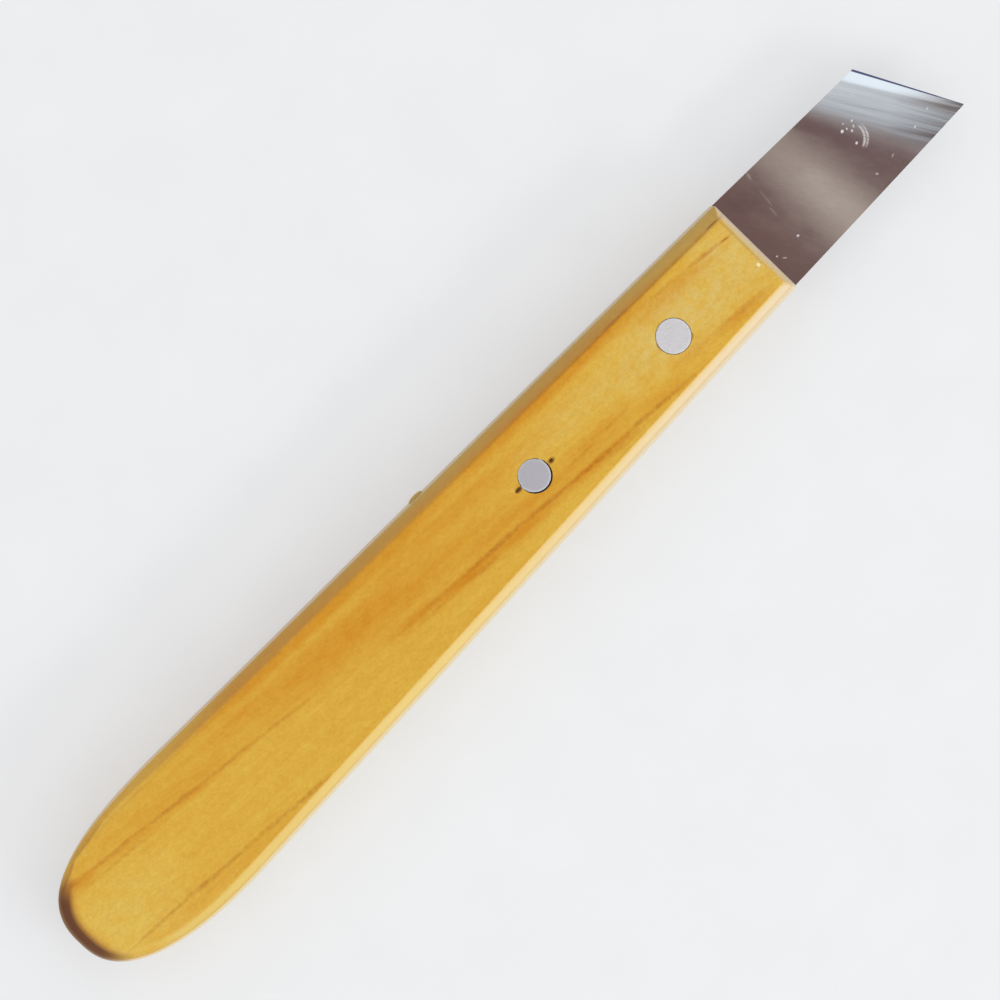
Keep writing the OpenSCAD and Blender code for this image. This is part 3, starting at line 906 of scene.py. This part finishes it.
def rivet_tree(inputs, material):
    """A pin with its rims broken and its ends very slightly domed."""
    tree, size = new_tree("rivet", inputs)
    radius = add_node(tree, "ShaderNodeMath", size["Diameter"], 0.5, operation="MULTIPLY")
    pin = add_node(tree, "GeometryNodeMeshCylinder", rivet_segments, 1, rivet_rings, radius, size["Length"])
    spot = add_node(tree, "GeometryNodeInputPosition")
    flat_spot = add_node(tree, "ShaderNodeVectorMath", spot, (1, 1, 0), operation="MULTIPLY")
    reach = add_node(tree, "ShaderNodeVectorMath", flat_spot, operation="LENGTH").outputs["Value"]
    share = add_node(tree, "ShaderNodeMath", reach, radius, operation="DIVIDE")
    dome = add_node(tree, "ShaderNodeMath", share, 2, operation="POWER")
    dome = add_node(tree, "ShaderNodeMath", dome, size["Dome"], operation="MULTIPLY")
    rim = add_node(tree, "ShaderNodeMapRange", share, rim_share, 1.0, 0, size["Rim Break"])
    sunk = add_node(tree, "ShaderNodeMath", dome, rim, operation="ADD")
    height = add_node(tree, "ShaderNodeSeparateXYZ", spot).outputs["Z"]
    end = add_node(tree, "ShaderNodeMath", height, operation="SIGN")
    sunk = add_node(tree, "ShaderNodeMath", sunk, end, operation="MULTIPLY")
    move = add_node(tree, "ShaderNodeCombineXYZ", sockets={"Z": sunk})
    move = add_node(tree, "ShaderNodeVectorMath", move, (-1, -1, -1), operation="MULTIPLY")
    worked = add_node(tree, "GeometryNodeSetPosition", pin, sockets={"Offset": move})
    placed = add_node(tree, "GeometryNodeTransform", worked, sockets={"Translation": size["Place"]})
    end_tree(tree, placed, material)
    return tree


def make_rivets(front_material, rear_material):
    """Both rivets, flush with the flats."""
    for node, place, diameter, material in (
            ("rivet_front", front_rivet, rivet_diameter, front_material),
            ("rivet_rear", rear_pin, rear_pin_diameter, rear_material)):
        inputs = {
            "Diameter": diameter, "Length": handle_thickness, "Place": place,
            "Dome": rivet_dome, "Rim Break": rim_break,
        }
        piece = new_piece(node + "_pin")
        grow(piece, rivet_tree(inputs, material), inputs)
        mount(piece, node, sharp_from=40)


floor_material = pale_paper()
wood = varnished_fruitwood()
steel = polished_steel()
front_aluminium = sanded_aluminium("sanded_aluminium", "#d2d0d2", "#e6e4e6", 0.62, 0.5)
rear_aluminium = sanded_aluminium("rubbed_aluminium", "#c6c6cc", "#dcdce2", 0.46, 0.36)

make_handle(wood)
make_blade(steel)
make_rivets(front_aluminium, rear_aluminium)


# Floor, light and camera

floor_half = 3.0
corners = [(-floor_half, -floor_half, 0), (floor_half, -floor_half, 0),
           (floor_half, floor_half, 0), (-floor_half, floor_half, 0)]
floor_mesh = bpy.data.meshes.new("floor")
floor_mesh.from_pydata(corners, [], [(0, 1, 2, 3)])
floor_mesh.materials.append(floor_material)
floor = new_piece("floor", floor_mesh)

# The camera looks almost straight down, turned so that the knife runs from lower left to upper right
camera_turn = math.radians(46.08)
camera_tilt = math.radians(3.19)
camera_centre = Vector((-0.08, 0.8, 6.0)) * MM
camera_distance = 450 * MM
camera_axes = (Matrix.Rotation(camera_turn, 3, "Z") @ Matrix.Rotation(camera_tilt, 3, "X")).transposed()
camera_data = bpy.data.cameras.new("camera")
camera_data.sensor_width = 36
camera_data.lens = 119.2
camera_data.clip_start = 0.01
camera = bpy.data.objects.new("camera", camera_data)
camera.matrix_world = Matrix.Translation(camera_centre + camera_axes @ Vector((0, 0, camera_distance))) \
    @ camera_axes.to_4x4()
bpy.context.scene.collection.objects.link(camera)
bpy.context.scene.camera = camera

# A window low on the belly's side, which puts a pale gloss on the eased edge there
lamp_data = bpy.data.lights.new("window", "AREA")
lamp_data.shape = "RECTANGLE"
lamp_data.size = 0.5
lamp_data.size_y = 0.14
lamp_data.energy = 1.5
lamp = bpy.data.objects.new("window", lamp_data)
lamp_place = Vector((0.12, -0.68, 0.4))
lamp.matrix_world = Matrix.Translation(lamp_place) @ lamp_place.to_track_quat("Z", "Y").to_matrix().to_4x4()
bpy.context.scene.collection.objects.link(lamp)

# Light of the room by angle from straight up: a dim ceiling, bright coving round it, and walls that get
# dimmer downwards
room_light = [(0, "#7f6c6c"), (10.5, "#7f6c6c"), (18, "#d3d5d8"), (28, "#fdfeff"), (45, "#fdfeff"),
              (60, "#eceef0"), (75, "#c0c1c2"), (90, "#858483")]
room_strength = 1.1
# A pale beam across the ceiling, by its slope from straight up along the knife, and half its width. It is
# dimmer towards the back's side
beam_slope = 0.1362
beam_half = 0.015


def room():
    """The room that lights the knife and that its blade mirrors."""
    world = bpy.data.worlds.new("room")
    world.use_nodes = True
    tree = world.node_tree
    tree.nodes.clear()
    sight = add_node(tree, "ShaderNodeTexCoord").outputs["Generated"]
    sides = add_node(tree, "ShaderNodeSeparateXYZ", sight)
    angle = add_node(tree, "ShaderNodeMath", sides.outputs["Z"], operation="ARCCOSINE")
    share = add_node(tree, "ShaderNodeMath", angle, math.pi / 2, operation="DIVIDE")
    ramp = add_node(tree, "ShaderNodeValToRGB", share)
    stops = ramp.color_ramp.elements
    while len(stops) < len(room_light):
        stops.new(1)
    for stop, (degrees, colour) in zip(stops, room_light):
        stop.position = degrees / 90
        stop.color = linear(colour)
    slope = add_node(tree, "ShaderNodeMath", sides.outputs["X"], sides.outputs["Z"], operation="DIVIDE")
    off_beam = distance(tree, slope, beam_slope)
    beam_level = add_node(tree, "ShaderNodeMapRange", sides.outputs["Y"], -0.058, -0.043, 1, 0.72)
    beam = add_node(tree, "ShaderNodeMapRange", off_beam, 0, beam_half, beam_level, 0,
                    interpolation_type="SMOOTHSTEP")
    lit = add_node(tree, "ShaderNodeMix", beam, ramp, linear("#d3cbc3"), data_type="RGBA")
    background = add_node(tree, "ShaderNodeBackground", lit, room_strength)
    add_node(tree, "ShaderNodeOutputWorld", background)
    return world


bpy.context.scene.world = room()
bpy.context.scene.view_settings.view_transform = "Standard"
